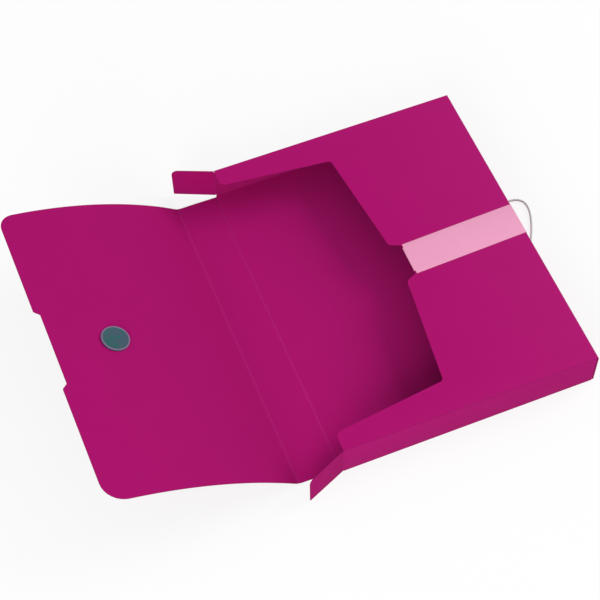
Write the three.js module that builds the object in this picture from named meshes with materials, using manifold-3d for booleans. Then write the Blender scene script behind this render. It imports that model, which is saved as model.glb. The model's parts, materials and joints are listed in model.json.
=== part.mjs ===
// A4 file box of folded polypropylene sheet, lying on its back panel with the closure flap open.
// Millimetres, +Z up. Inside the box group the near mouth corner is the zero point: +X runs from
// the mouth to the closed end wall and +Y from the near side wall to the far one.

import * as THREE from "three";
import { mergeVertices } from "three/addons/utils/BufferGeometryUtils.js";
import Module from "manifold-3d";

const wasm = await Module();
wasm.setup();

// The sheet and the box that is folded from it
const sheet = 0.8;
const boxWidth = 250;
const boxLength = 330;
const boxDepth = 40;
const foldGap = 0.3;

// Creases that still move: the axis lies in the sheet's middle, this far from either edge
const creaseToFixedEdge = 0.5;
const creaseToMovingEdge = 0.1;

// Front panel: two arms run beside the cut-out to the mouth, and its edge is a shallow V
const cutOutDepth = 110;
const armRootWidth = 32;
const armMouthWidth = 19.5;
const armMouthRadius = 7;
const cutOutCornerRadius = 4;
const shallowVDepth = 12;
const shallowVHalfWidth = 24;

// Thumb notch at the bottom of the V, a touch nearer the near side than the middle
const thumbNotchDepth = 12;
const thumbNotchWidth = 34;
const thumbNotchFlare = 5;
const thumbNotchOffset = -1.5;
const thumbNotchRadius = 3;
const notchShoulderRadius = 7;

// Glue flanges under the front panel, and the tabs glued inside the end wall
const glueFlangeWidth = 15;
const glueFlangeMouthSetback = 3;
const flangeBevel = 8;
const cornerTabLength = 30;
const cornerTabClearance = 0.4;
const cornerTabRadius = 6;

// Dust flaps on the side walls' mouth edges, nearly as tall as the box. The taper clears the strip.
const dustFlapLength = 41.5;
const dustFlapTopDrop = 0.2;
const dustFlapTaper = 0.9;
const dustFlapFloorGap = 0.4;
const dustFlapTopRadius = 7;
const dustFlapFootRadius = 0.6;
const dustFlapSplayDeg = 23.5;

// Spine strip, which stands across the mouth when the box is shut
const stripWidth = 40.4;
const stripLiftDeg = 1.2;
const stripToWalls = 1.6;

// Closure flap: one arched sheet, in four stretches that straighten as it shuts. Each stretch stops
// this far short of the flex line at its end. The skew is how fast the flap's width grows along Y.
const flexToFixedEdge = 0.25;
const flapWidth = 192.4;
const flapRootHeadingDeg = 42;
const flapRadius = 354;
const flapSideInset = 3;
const flapSideTaper = 5;
const flapEdgeSkew = 0.011;
const flapNearCornerRadius = 21;
const flapFarCornerRadius = 14;
const flapFlexLines = [46, 92, 146];
const flapEdgeOverrun = 1;
const edgeNotchOffset = 3.5;
const edgeNotchDepth = 5;
const edgeNotchWidth = 76.5;
const edgeNotchFlare = 4.2;
const edgeNotchRadius = 2.5;

// Two-part button through the flap
const buttonFromCrease = 130;
const buttonOffset = 2;
const buttonRadius = 13.5;
const buttonPostRadius = 4;
const buttonFitGap = 0.25;
const buttonSheetGap = 0.1;
const backingDiscRim = 1.7;
const backingDiscFloor = 1.3;
const backingDiscRimWidth = 1.6;
const buttonSocketDepth = 0.8;
const buttonNeckRadius = 8;
const buttonNeckLength = 3.4;
const buttonHeadThickness = 3.8;

// Pale band over the front panel and down the end wall
const bandThickness = 0.25;
const bandGap = 0.1;
const bandWidth = 35;
const bandSkew = 0.031;
const bandTurnUnder = 12;
const bandHookMargin = 5;
const bandFootGap = 2;
const bandEndOffset = 1.8;

// Elastic cord, knotted inside two holes in the end wall
const cordDiameter = 2.2;
const cordHoleGap = 0.5;
const cordHoleSpacing = 51;
const cordHoleHeight = 20;
const cordSides = 8;
const knotRadius = 2.8;
const knotLength = 4.2;

// Colours and finishes
const magenta = 0xa8186c;
const bandPink = 0xea9dc1;
const buttonSlate = 0x3c5d63;
const buttonRimSlate = 0x4b6c72;
const cordGrey = 0xb2b2b0;

const sheetFinish = { color: magenta, roughness: 0.42, metalness: 0 };
const bandFinish = { color: bandPink, roughness: 0.6, metalness: 0 };
const discFinish = { color: buttonSlate, roughness: 0.45, metalness: 0 };
const capFinish = { color: buttonRimSlate, roughness: 0.4, metalness: 0 };
const cordFinish = { color: cordGrey, roughness: 0.85, metalness: 0 };

// Heights of the layers, from the back panel's underside to the front panel's top
const backTop = sheet;
const wallFoot = backTop + foldGap;
const frontUnderside = boxDepth - sheet;
const flangeTop = frontUnderside - foldGap;
const flangeUnderside = flangeTop - sheet;
const sideWallTop = flangeUnderside - foldGap;
const endWallInside = boxWidth - sheet;
const innerEndLimit = endWallInside - foldGap;
const middle = boxLength / 2;

function radians(degrees) {
  return THREE.MathUtils.degToRad(degrees);
}

// A flat outline through corner points, each [x, y, radius]; a radius of 0 stays sharp.
function roundedShape(corners) {
  const shape = new THREE.Shape();
  corners.forEach(([x, y, radius], index) => {
    const corner = new THREE.Vector2(x, y);
    if (!radius) {
      placePoint(shape, index, corner);
      return;
    }
    const before = corners[(index + corners.length - 1) % corners.length];
    const after = corners[(index + 1) % corners.length];
    const inward = new THREE.Vector2(before[0] - x, before[1] - y).normalize();
    const outward = new THREE.Vector2(after[0] - x, after[1] - y).normalize();
    const halfAngle = Math.acos(inward.dot(outward)) / 2;
    const tangent = radius / Math.tan(halfAngle);
    const start = corner.clone().addScaledVector(inward, tangent);
    const end = corner.clone().addScaledVector(outward, tangent);
    const toCentre = inward.clone().add(outward).normalize();
    const centre = corner.clone().addScaledVector(toCentre, radius / Math.sin(halfAngle));
    placePoint(shape, index, start);
    const clockwise = inward.cross(outward) > 0;
    shape.absarc(centre.x, centre.y, radius, start.clone().sub(centre).angle(),
      end.clone().sub(centre).angle(), clockwise);
  });
  return shape;
}

function placePoint(shape, index, point) {
  if (index === 0) {
    shape.moveTo(point.x, point.y);
  } else {
    shape.lineTo(point.x, point.y);
  }
}

function rectangle(lowX, lowY, highX, highY) {
  return roundedShape([[lowX, lowY, 0], [highX, lowY, 0], [highX, highY, 0], [lowX, highY, 0]]);
}

function extrude(shape, depth, curveSegments = 6) {
  return new THREE.ExtrudeGeometry(shape, { depth, curveSegments, bevelEnabled: false });
}

// A plate lying flat, its outline in X and Y and its underside at the given height
function flatPlate(shape, underside, thickness = sheet) {
  return extrude(shape, thickness).translate(0, 0, underside);
}

// A plate standing along X, its outline in X and Z, from the given Y towards +Y
function plateAlongX(shape, lowY, thickness = sheet) {
  return extrude(shape, thickness).rotateX(Math.PI / 2).translate(0, lowY + thickness, 0);
}

// A plate standing along Y, its outline in Y and Z, from the given X towards +X
function plateAlongY(shape, lowX, thickness = sheet) {
  const turn = new THREE.Matrix4().makeBasis(
    new THREE.Vector3(0, 1, 0), new THREE.Vector3(0, 0, 1), new THREE.Vector3(1, 0, 0));
  return extrude(shape, thickness).applyMatrix4(turn).translate(lowX, 0, 0);
}

function toSolid(geometry) {
  const bare = geometry.clone();
  bare.deleteAttribute("normal");
  bare.deleteAttribute("uv");
  const merged = mergeVertices(bare, 1e-4);
  const vertProperties = new Float32Array(merged.attributes.position.array);
  const triVerts = new Uint32Array(merged.index.array);
  return new wasm.Manifold(new wasm.Mesh({ numProp: 3, vertProperties, triVerts }));
}

function toGeometry(solid) {
  const { vertProperties, triVerts } = solid.getMesh();
  const geometry = new THREE.BufferGeometry();
  geometry.setAttribute("position", new THREE.BufferAttribute(new Float32Array(vertProperties), 3));
  geometry.setIndex(new THREE.BufferAttribute(new Uint32Array(triVerts), 1));
  geometry.computeVertexNormals();
  return geometry;
}

function addPiece(parent, name, geometry, finish) {
  const piece = new THREE.Mesh(geometry, new THREE.MeshStandardMaterial(finish));
  piece.name = name;
  parent.add(piece);
  return piece;
}

// Mirrors a near-side outline to the far side, keeping the order of its points turning the same way
function mirrored(corners) {
  return corners.map(([x, y, radius]) => [x, boxLength - y, radius]).reverse();
}

function addBackPanel(box) {
  const mouthEdge = creaseToFixedEdge - stripToWalls;
  addPiece(box, "back_panel", flatPlate(rectangle(mouthEdge, 0, boxWidth, boxLength), 0), sheetFinish);
}

function addSideWall(box, name, lowY) {
  const outline = rectangle(0, wallFoot, innerEndLimit, sideWallTop);
  addPiece(box, name, plateAlongX(outline, lowY), sheetFinish);
}

function addEndWall(box) {
  const outline = rectangle(0, wallFoot, boxLength, flangeTop);
  const holeRadius = (cordDiameter + cordHoleGap) / 2;
  let wall = toSolid(plateAlongY(outline, endWallInside));
  for (const side of [-1, 1]) {
    const holeDepth = 3 * sheet;
    const hole = new THREE.CylinderGeometry(holeRadius, holeRadius, holeDepth, 16)
      .rotateZ(Math.PI / 2)
      .translate(boxWidth - sheet / 2, middle + side * cordHoleSpacing / 2, cordHoleHeight);
    wall = wall.subtract(toSolid(hole));
  }
  addPiece(box, "end_wall", toGeometry(wall), sheetFinish);
}

// Half of the front panel's mouth edge, from the middle of the near arm's end to the thumb notch
function nearMouthEdge() {
  const notchMiddle = middle + thumbNotchOffset;
  const notchEdge = notchMiddle - thumbNotchWidth / 2;
  const vBottom = cutOutDepth + shallowVDepth;
  return [
    [vBottom + thumbNotchDepth, notchEdge, thumbNotchRadius],
    [vBottom, notchEdge - thumbNotchFlare, notchShoulderRadius],
    [vBottom, notchMiddle - shallowVHalfWidth - thumbNotchFlare, 0],
    [cutOutDepth, armRootWidth, cutOutCornerRadius],
    [0, armMouthWidth, armMouthRadius],
    [0, 0, 0],
  ];
}

function addFrontPanel(box) {
  const near = nearMouthEdge();
  const far = near.map(([x, y, radius], index) => {
    const isNotch = index < 3;
    const farY = isNotch ? 2 * (middle + thumbNotchOffset) - y : boxLength - y;
    return [x, farY, radius];
  });
  const outline = roundedShape([
    ...near,
    [boxWidth, 0, 0],
    [boxWidth, boxLength, 0],
    ...far.reverse(),
  ]);
  addPiece(box, "front_panel", flatPlate(outline, frontUnderside), sheetFinish);
}

function glueFlangeCorners() {
  return [
    [glueFlangeMouthSetback, 0, 0],
    [innerEndLimit, 0, 0],
    [innerEndLimit - flangeBevel, glueFlangeWidth, 0],
    [glueFlangeMouthSetback + flangeBevel, glueFlangeWidth, 0],
  ];
}

function addGlueFlanges(box) {
  const near = glueFlangeCorners();
  addPiece(box, "near_glue_flange", flatPlate(roundedShape(near), flangeUnderside), sheetFinish);
  addPiece(box, "far_glue_flange", flatPlate(roundedShape(mirrored(near)), flangeUnderside), sheetFinish);
}

function addCornerTabs(box) {
  const foldedEdge = sheet + foldGap;
  const freeEdge = foldedEdge + cornerTabLength;
  const foot = wallFoot + cornerTabClearance;
  const head = flangeUnderside - foldGap - cornerTabClearance;
  const near = [
    [foldedEdge, foot, 0],
    [freeEdge, foot, cornerTabRadius],
    [freeEdge, head, cornerTabRadius],
    [foldedEdge, head, 0],
  ];
  const far = near.map(([y, z, radius]) => [boxLength - y, z, radius]).reverse();
  const lowX = innerEndLimit - sheet;
  addPiece(box, "near_corner_tab", plateAlongY(roundedShape(near), lowX), sheetFinish);
  addPiece(box, "far_corner_tab", plateAlongY(roundedShape(far), lowX), sheetFinish);
}

// A dust flap hangs on the vertical crease at its side wall's mouth edge and points out of the mouth
function addDustFlap(box, name, creaseY, splayDeg) {
  const crease = new THREE.Group();
  crease.position.set(-creaseToFixedEdge, creaseY, 0);
  crease.rotation.z = radians(splayDeg);
  const foot = backTop + dustFlapFloorGap;
  const head = boxDepth - dustFlapTopDrop;
  const outline = roundedShape([
    [-dustFlapLength, head, dustFlapTopRadius],
    [-dustFlapLength, foot + dustFlapTaper, dustFlapFootRadius],
    [-creaseToMovingEdge, foot, 0],
    [-creaseToMovingEdge, head, 0],
  ]);
  addPiece(crease, name, plateAlongX(outline, -sheet / 2), sheetFinish);
  box.add(crease);
}

function addSpineStrip(box) {
  const spine = new THREE.Group();
  spine.position.set(-stripToWalls, 0, sheet / 2);
  spine.rotation.y = radians(stripLiftDeg);
  const outline = rectangle(creaseToFixedEdge - stripWidth, flapSideInset,
    -creaseToMovingEdge, boxLength - flapSideInset);
  addPiece(spine, "spine_strip", flatPlate(outline, -sheet / 2), sheetFinish);
  box.add(spine);
  return spine;
}

// The flap's cut outline laid flat: x is minus the distance from its crease
function flapOutline() {
  const freeInset = flapSideInset + flapSideTaper;
  const notchMiddle = middle + edgeNotchOffset;
  const notchHalf = edgeNotchWidth / 2;
  const nearSide = [
    [-flapWidth, freeInset, flapNearCornerRadius],
    [-flapWidth, notchMiddle - notchHalf - edgeNotchFlare, edgeNotchRadius],
    [edgeNotchDepth - flapWidth, notchMiddle - notchHalf, edgeNotchRadius],
  ];
  const farSide = [
    [edgeNotchDepth - flapWidth, notchMiddle + notchHalf, edgeNotchRadius],
    [-flapWidth, notchMiddle + notchHalf + edgeNotchFlare, edgeNotchRadius],
    [-flapWidth, boxLength - freeInset, flapFarCornerRadius],
  ];
  const freeEdge = [...nearSide, ...farSide].map(([x, y, radius]) => [
    x - flapEdgeSkew * (y - middle), y, radius]);
  return roundedShape([
    [0, flapSideInset, 0],
    [0, boxLength - flapSideInset, 0],
    ...freeEdge.reverse(),
  ]);
}

// One stretch of the arched flap between two flex lines. It runs towards -x from its own line,
// with the chord on the x axis and the arch above it. The last one overruns the free edge, which
// the flap's outline then cuts.
function flapStretch(from, to) {
  const half = (to - from) / 2 / flapRadius;
  const trim = creaseToMovingEdge / flapRadius;
  const chord = 2 * flapRadius * Math.sin(half);
  const centreX = -chord / 2;
  const centreZ = -flapRadius * Math.cos(half);
  const arch = new THREE.Shape();
  const startAngle = Math.PI / 2 - half + trim;
  const endTrim = to < flapWidth ? flexToFixedEdge : -flapEdgeOverrun - flapEdgeSkew * middle;
  const endAngle = Math.PI / 2 + half - endTrim / flapRadius;
  arch.absarc(centreX, centreZ, flapRadius + sheet / 2, startAngle, endAngle, false);
  arch.absarc(centreX, centreZ, flapRadius - sheet / 2, endAngle, startAngle, true);
  const slab = extrude(arch, boxLength, 5).rotateX(Math.PI / 2).translate(0, boxLength, 0);
  const cutterHeight = 20;
  const cutter = extrude(flapOutline(), 2 * cutterHeight, 8).translate(from, 0, -cutterHeight);
  return toSolid(slab).intersect(toSolid(cutter));
}

function stretchChord(from, to) {
  return 2 * flapRadius * Math.sin((to - from) / 2 / flapRadius);
}

function stretchHeading(from, to) {
  return radians(flapRootHeadingDeg) - (from + to) / 2 / flapRadius;
}

// The button's own frame: on the flap's middle surface, at its centre, with z out of the inner face
function buttonSeat(from, to) {
  const alongMiddle = (from + to) / 2 - buttonFromCrease;
  const tilt = alongMiddle / flapRadius;
  const seat = new THREE.Group();
  const half = (to - from) / 2 / flapRadius;
  const x = -stretchChord(from, to) / 2 + flapRadius * Math.sin(tilt);
  const z = flapRadius * (Math.cos(tilt) - Math.cos(half));
  seat.position.set(x, middle + buttonOffset, z);
  seat.rotation.y = tilt;
  return seat;
}

function buttonHole(seat) {
  const radius = buttonPostRadius + buttonFitGap;
  const depth = 6 * sheet;
  const hole = new THREE.CylinderGeometry(radius, radius, depth, 24).rotateX(Math.PI / 2);
  seat.updateMatrix();
  return toSolid(hole.applyMatrix4(seat.matrix));
}

// A turned piece about the seat's z axis, from [radius, height] points that start and end on the axis
function turned(profile, segments = 32) {
  const points = profile.map(([radius, height]) => new THREE.Vector2(radius, height));
  return new THREE.LatheGeometry(points, segments).rotateX(Math.PI / 2);
}

function addButton(seat) {
  const discFoot = sheet / 2 + buttonSheetGap;
  const socketRadius = buttonPostRadius + buttonFitGap;
  const socketTop = discFoot + buttonSocketDepth;
  const rimTop = discFoot + backingDiscRim;
  const rimInner = buttonRadius - backingDiscRimWidth;
  const chamfer = 0.5;
  addPiece(seat, "button_backing_disc", turned([
    [0, socketTop],
    [socketRadius, socketTop],
    [socketRadius, discFoot],
    [buttonRadius - chamfer, discFoot],
    [buttonRadius, discFoot + chamfer],
    [buttonRadius, rimTop - chamfer],
    [buttonRadius - chamfer, rimTop],
    [rimInner, rimTop],
    [rimInner - chamfer, discFoot + backingDiscFloor],
    [0, discFoot + backingDiscFloor],
  ]), discFinish);

  const archDrop = buttonRadius * buttonRadius / 2 / flapRadius;
  const shoulder = -sheet / 2 - buttonSheetGap - archDrop;
  const headTop = shoulder - buttonNeckLength;
  const headFoot = headTop - buttonHeadThickness;
  addPiece(seat, "button_cap", turned([
    [0, headFoot],
    [buttonRadius * 0.55, headFoot + 0.3],
    [buttonRadius * 0.85, headFoot + 1],
    [buttonRadius, headFoot + 2.2],
    [buttonRadius, headTop - chamfer],
    [buttonRadius - chamfer, headTop],
    [buttonNeckRadius, headTop],
    [buttonNeckRadius, shoulder],
    [buttonPostRadius, shoulder],
    [buttonPostRadius, socketTop - buttonFitGap],
    [0, socketTop - buttonFitGap],
  ]), capFinish);
}

const flapNames = [
  "closure_flap_root",
  "closure_flap_middle",
  "closure_flap_button_zone",
  "closure_flap_edge",
];

// Nested groups, so that each stretch hangs on the flex line of the one before it
function addClosureFlap(spine) {
  const lines = [0, ...flapFlexLines, flapWidth];
  let parent = spine;
  let joint = -stripWidth;
  let heading = radians(stripLiftDeg);
  flapNames.forEach((name, index) => {
    const [from, to] = [lines[index], lines[index + 1]];
    const stretch = new THREE.Group();
    stretch.position.x = joint;
    stretch.rotation.y = stretchHeading(from, to) - heading;
    parent.add(stretch);
    let solid = flapStretch(from, to);
    if (buttonFromCrease > from && buttonFromCrease < to) {
      const seat = buttonSeat(from, to);
      solid = solid.subtract(buttonHole(seat));
      addButton(seat);
      stretch.add(seat);
    }
    addPiece(stretch, name, toGeometry(solid), sheetFinish);
    parent = stretch;
    joint = -stretchChord(from, to);
    heading = stretchHeading(from, to);
  });
}

// The band hooks round the thumb notch's edge, crosses the front panel and hangs down the end wall
function addColourBand(box) {
  const notchEdge = cutOutDepth + shallowVDepth + thumbNotchDepth;
  const over = boxDepth + bandGap;
  const under = frontUnderside - bandGap;
  const hook = notchEdge - bandGap;
  const outside = boxWidth + bandGap;
  const run = [
    [hook, over, 0],
    [outside, over, 0],
    [outside, bandFootGap, 0],
    [outside + bandThickness, bandFootGap, 0],
    [outside + bandThickness, over + bandThickness, 0],
    [hook, over + bandThickness, 0],
  ];
  const turnUnder = [
    [hook - bandThickness, under - bandThickness, 0],
    [notchEdge + bandTurnUnder, under - bandThickness, 0],
    [notchEdge + bandTurnUnder, under, 0],
    [hook, under, 0],
    [hook, over, 0],
    [notchEdge, over, 0],
    [notchEdge, over + bandThickness, 0],
    [hook - bandThickness, over + bandThickness, 0],
  ];
  const band = bandStrip(run, bandWidth).add(bandStrip(turnUnder, bandWidth - 2 * bandHookMargin));
  addPiece(box, "colour_band", toGeometry(band), bandFinish);
}

// A strip of the band with the given outline in X and Z, skewed in plan about the end wall
function bandStrip(outline, width) {
  const nearEdge = middle + bandEndOffset - width / 2;
  const skew = new THREE.Matrix4().makeShear(bandSkew, 0, 0, 0, 0, 0);
  const strip = plateAlongX(roundedShape(outline), nearEdge, width)
    .translate(-boxWidth, 0, 0)
    .applyMatrix4(skew)
    .translate(boxWidth, 0, 0);
  return toSolid(strip);
}

// The elastic hangs out of the far hole, lies on the table in a loose loop and goes back in at the
// near hole. Points of its middle line, in the box's own place.
function cordRoute() {
  const near = middle - cordHoleSpacing / 2;
  const far = middle + cordHoleSpacing / 2;
  const high = cordHoleHeight;
  return [
    [endWallInside, far, high],
    [251.6, far, high],
    [253.9, 191.2, 19.4],
    [255.4, 193.2, 17.6],
    [256.0, 196.2, 14.8],
    [256.3, 199.8, 11.4],
    [256.8, 203.2, 8.0],
    [258.0, 206.6, 5.0],
    [260.2, 209.6, 2.8],
    [263.3, 211.4, 1.6],
    [267.5, 211.7, 1.2],
    [272.0, 210.8, 1.2],
    [276.1, 208.5, 1.2],
    [278.9, 204.6, 1.2],
    [279.7, 199.2, 1.2],
    [279.1, 193.6, 1.2],
    [277.4, 187.4, 1.2],
    [275.0, 181.0, 1.2],
    [272.0, 174.4, 1.2],
    [268.6, 167.8, 1.2],
    [265.1, 161.8, 1.2],
    [261.6, 155.8, 1.3],
    [258.8, 150.2, 2.4],
    [257.0, 145.6, 5.2],
    [256.0, 142.4, 9.2],
    [255.2, 140.4, 13.6],
    [254.0, 139.6, 17.6],
    [251.8, near, high],
    [endWallInside, near, high],
  ];
}

function addElasticLoop(box) {
  const points = cordRoute().map(([x, y, z]) => new THREE.Vector3(x, y, z));
  const path = new THREE.CatmullRomCurve3(points, false, "centripetal");
  const section = new THREE.Shape();
  for (let side = 0; side < cordSides; side += 1) {
    const angle = 2 * Math.PI * (side + 0.5) / cordSides;
    const across = cordDiameter / 2 * Math.cos(angle);
    const up = cordDiameter / 2 * Math.sin(angle);
    placePoint(section, side, new THREE.Vector2(across, up));
  }
  const steps = Math.round(path.getLength() / (2 * cordDiameter));
  const cord = new THREE.ExtrudeGeometry(section, { steps, extrudePath: path, bevelEnabled: false });
  addPiece(box, "elastic_loop", cord, cordFinish);
}

function addCordKnot(box, name, side) {
  const knot = new THREE.Group();
  knot.position.set(innerEndLimit, middle + side * cordHoleSpacing / 2, cordHoleHeight);
  knot.rotation.y = -Math.PI / 2;
  addPiece(knot, name, turned([
    [0, 0],
    [knotRadius * 0.8, 0],
    [knotRadius, knotLength * 0.3],
    [knotRadius * 0.95, knotLength * 0.65],
    [knotRadius * 0.6, knotLength * 0.95],
    [0, knotLength],
  ], 12), cordFinish);
  box.add(knot);
}

function buildBox() {
  const box = new THREE.Group();
  box.position.set(-boxWidth / 2, -middle, 0);
  addBackPanel(box);
  addSideWall(box, "near_side_wall", 0);
  addSideWall(box, "far_side_wall", boxLength - sheet);
  addEndWall(box);
  addFrontPanel(box);
  addGlueFlanges(box);
  addCornerTabs(box);
  addDustFlap(box, "near_dust_flap", sheet / 2, dustFlapSplayDeg);
  addDustFlap(box, "far_dust_flap", boxLength - sheet / 2, -dustFlapSplayDeg);
  addClosureFlap(addSpineStrip(box));
  addColourBand(box);
  addElasticLoop(box);
  addCordKnot(box, "near_cord_knot", -1);
  addCordKnot(box, "far_cord_knot", 1);
  return box;
}

const fileBox = new THREE.Group();
fileBox.add(buildBox());

export default fileBox;
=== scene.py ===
import json
import math
from functools import partial

import bmesh
import bpy
import numpy as np
from mathutils import Matrix, Vector
from mathutils.geometry import delaunay_2d_cdt
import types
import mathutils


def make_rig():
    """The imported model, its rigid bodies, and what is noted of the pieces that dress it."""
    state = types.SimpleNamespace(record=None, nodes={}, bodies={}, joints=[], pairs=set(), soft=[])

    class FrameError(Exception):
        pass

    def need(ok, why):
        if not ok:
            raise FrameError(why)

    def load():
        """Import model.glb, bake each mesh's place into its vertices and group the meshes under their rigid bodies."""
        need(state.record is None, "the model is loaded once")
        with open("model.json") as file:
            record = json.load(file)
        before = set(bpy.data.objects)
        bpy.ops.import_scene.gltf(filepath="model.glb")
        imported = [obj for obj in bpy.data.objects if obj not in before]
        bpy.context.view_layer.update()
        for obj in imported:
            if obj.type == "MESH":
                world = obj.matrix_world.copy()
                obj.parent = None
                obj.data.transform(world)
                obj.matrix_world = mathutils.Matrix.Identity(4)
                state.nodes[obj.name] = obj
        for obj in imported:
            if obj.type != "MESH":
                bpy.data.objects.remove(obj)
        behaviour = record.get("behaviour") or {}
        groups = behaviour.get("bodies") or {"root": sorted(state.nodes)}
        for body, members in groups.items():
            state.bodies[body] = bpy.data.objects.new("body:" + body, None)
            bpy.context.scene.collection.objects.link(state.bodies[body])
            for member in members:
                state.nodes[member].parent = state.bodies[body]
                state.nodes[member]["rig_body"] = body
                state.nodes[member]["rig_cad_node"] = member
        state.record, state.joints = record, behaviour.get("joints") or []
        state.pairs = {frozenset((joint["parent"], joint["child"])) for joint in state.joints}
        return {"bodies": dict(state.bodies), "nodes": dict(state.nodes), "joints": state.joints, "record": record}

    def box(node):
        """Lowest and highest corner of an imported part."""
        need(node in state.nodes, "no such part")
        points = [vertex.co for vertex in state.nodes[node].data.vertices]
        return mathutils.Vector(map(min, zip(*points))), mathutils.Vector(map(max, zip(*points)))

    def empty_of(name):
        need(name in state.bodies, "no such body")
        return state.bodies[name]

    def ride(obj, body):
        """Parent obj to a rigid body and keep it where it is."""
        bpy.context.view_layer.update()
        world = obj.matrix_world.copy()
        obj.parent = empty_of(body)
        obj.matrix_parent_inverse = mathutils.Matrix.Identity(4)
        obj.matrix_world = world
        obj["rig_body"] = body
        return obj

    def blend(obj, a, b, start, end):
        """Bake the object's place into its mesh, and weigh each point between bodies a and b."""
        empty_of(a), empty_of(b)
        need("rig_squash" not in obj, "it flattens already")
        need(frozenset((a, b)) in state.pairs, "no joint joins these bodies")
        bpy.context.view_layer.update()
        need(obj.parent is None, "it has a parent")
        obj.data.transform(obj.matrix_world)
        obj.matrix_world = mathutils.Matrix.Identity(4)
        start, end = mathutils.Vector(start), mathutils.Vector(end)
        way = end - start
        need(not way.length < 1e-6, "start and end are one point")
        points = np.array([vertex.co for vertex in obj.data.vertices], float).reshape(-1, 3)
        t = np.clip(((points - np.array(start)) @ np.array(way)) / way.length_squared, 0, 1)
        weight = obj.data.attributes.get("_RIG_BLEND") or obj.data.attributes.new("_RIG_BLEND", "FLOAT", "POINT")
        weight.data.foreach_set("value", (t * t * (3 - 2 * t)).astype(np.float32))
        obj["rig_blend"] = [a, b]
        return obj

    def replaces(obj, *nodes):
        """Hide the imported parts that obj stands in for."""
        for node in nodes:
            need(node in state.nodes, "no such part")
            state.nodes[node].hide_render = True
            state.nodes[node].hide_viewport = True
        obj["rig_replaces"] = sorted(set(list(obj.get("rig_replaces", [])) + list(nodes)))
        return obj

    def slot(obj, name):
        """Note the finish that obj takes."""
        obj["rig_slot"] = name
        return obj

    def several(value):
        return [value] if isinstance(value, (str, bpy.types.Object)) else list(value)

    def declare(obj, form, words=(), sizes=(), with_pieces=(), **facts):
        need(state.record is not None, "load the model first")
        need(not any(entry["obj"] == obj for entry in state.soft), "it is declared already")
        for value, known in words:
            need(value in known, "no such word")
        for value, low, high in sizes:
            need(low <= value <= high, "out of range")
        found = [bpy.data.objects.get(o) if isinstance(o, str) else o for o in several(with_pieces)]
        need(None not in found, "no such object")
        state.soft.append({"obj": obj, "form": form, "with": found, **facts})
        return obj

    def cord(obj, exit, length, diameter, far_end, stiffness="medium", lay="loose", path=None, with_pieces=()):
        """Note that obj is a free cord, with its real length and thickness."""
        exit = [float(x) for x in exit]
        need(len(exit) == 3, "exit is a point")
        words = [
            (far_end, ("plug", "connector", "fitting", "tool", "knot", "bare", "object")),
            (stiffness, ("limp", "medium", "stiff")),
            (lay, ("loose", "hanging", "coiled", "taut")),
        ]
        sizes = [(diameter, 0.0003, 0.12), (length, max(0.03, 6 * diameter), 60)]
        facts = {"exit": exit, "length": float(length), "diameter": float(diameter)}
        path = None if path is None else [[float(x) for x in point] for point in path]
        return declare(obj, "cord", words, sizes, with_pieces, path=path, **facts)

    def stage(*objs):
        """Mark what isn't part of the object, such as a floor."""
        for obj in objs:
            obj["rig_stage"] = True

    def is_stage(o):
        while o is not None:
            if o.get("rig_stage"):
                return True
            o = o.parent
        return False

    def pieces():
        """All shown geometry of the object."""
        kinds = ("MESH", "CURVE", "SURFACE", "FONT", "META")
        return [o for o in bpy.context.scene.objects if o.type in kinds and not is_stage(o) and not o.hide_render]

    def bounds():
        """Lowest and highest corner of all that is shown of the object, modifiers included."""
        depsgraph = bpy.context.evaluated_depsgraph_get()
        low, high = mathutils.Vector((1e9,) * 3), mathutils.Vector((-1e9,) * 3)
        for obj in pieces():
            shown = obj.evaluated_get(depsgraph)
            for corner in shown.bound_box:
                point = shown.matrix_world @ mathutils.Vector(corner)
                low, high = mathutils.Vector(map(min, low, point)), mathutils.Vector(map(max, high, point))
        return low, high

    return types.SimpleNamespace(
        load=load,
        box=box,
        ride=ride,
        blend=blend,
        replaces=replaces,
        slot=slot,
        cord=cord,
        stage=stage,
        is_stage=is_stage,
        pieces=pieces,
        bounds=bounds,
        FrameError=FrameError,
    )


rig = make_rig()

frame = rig.load()
cadBox = [list(corner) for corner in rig.bounds()]
print("frame loaded")


# The box's own zero point is its near mouth corner: x from the mouth, y from the near side, z up
mouthCorner = Vector((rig.box("front_panel")[0].x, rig.box("near_side_wall")[0].y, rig.box("back_panel")[0].z))


def inBox(x, y, z):
    return mouthCorner + Vector((x, y, z)) / 1000


def boxPlace(point):
    return [round(value * 1000, 3) for value in Vector(point) - mouthCorner]


def jointPlace(name):
    return boxPlace(next(joint["pos_m"] for joint in frame["joints"] if joint["name"] == name))


boxWidth = boxPlace(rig.box("end_wall")[1])[0]
boxLength = boxPlace(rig.box("far_side_wall")[1])[1]
boxDepth = boxPlace(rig.box("front_panel")[1])[2]
sheet = boxPlace(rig.box("back_panel")[1])[2]


def addObject(name, data):
    made = bpy.data.objects.new(name, data)
    bpy.context.scene.collection.objects.link(made)
    return made


# Camera: the photograph's own pinhole, found from the box's corners

camera = {
    "place": (-0.390245, -0.769421, 1.33387),
    "right": (0.92840349, -0.37135228, -0.0128237),
    "down": (-0.32043035, -0.78266819, -0.53362431),
    "focalPixels": 1651.3,
    "framePixels": 600,
    "sensor": 36,  # millimetres
}


def makeCamera(setup):
    made = addObject("camera", bpy.data.cameras.new("camera"))
    right, up = Vector(setup["right"]), -Vector(setup["down"])
    turn = Matrix((right, up, right.cross(up))).transposed()
    made.matrix_world = Matrix.Translation(setup["place"]) @ turn.to_4x4()
    made.data.sensor_width = setup["sensor"]
    made.data.lens = setup["focalPixels"] * setup["sensor"] / setup["framePixels"]
    bpy.context.scene.camera = made


makeCamera(camera)


# Materials

def colour(hexCode):
    levels = [int(hexCode[i:i + 2], 16) / 255 for i in (1, 3, 5)]
    return [v / 12.92 if v <= 0.04045 else ((v + 0.055) / 1.055) ** 2.4 for v in levels] + [1.0]


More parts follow.
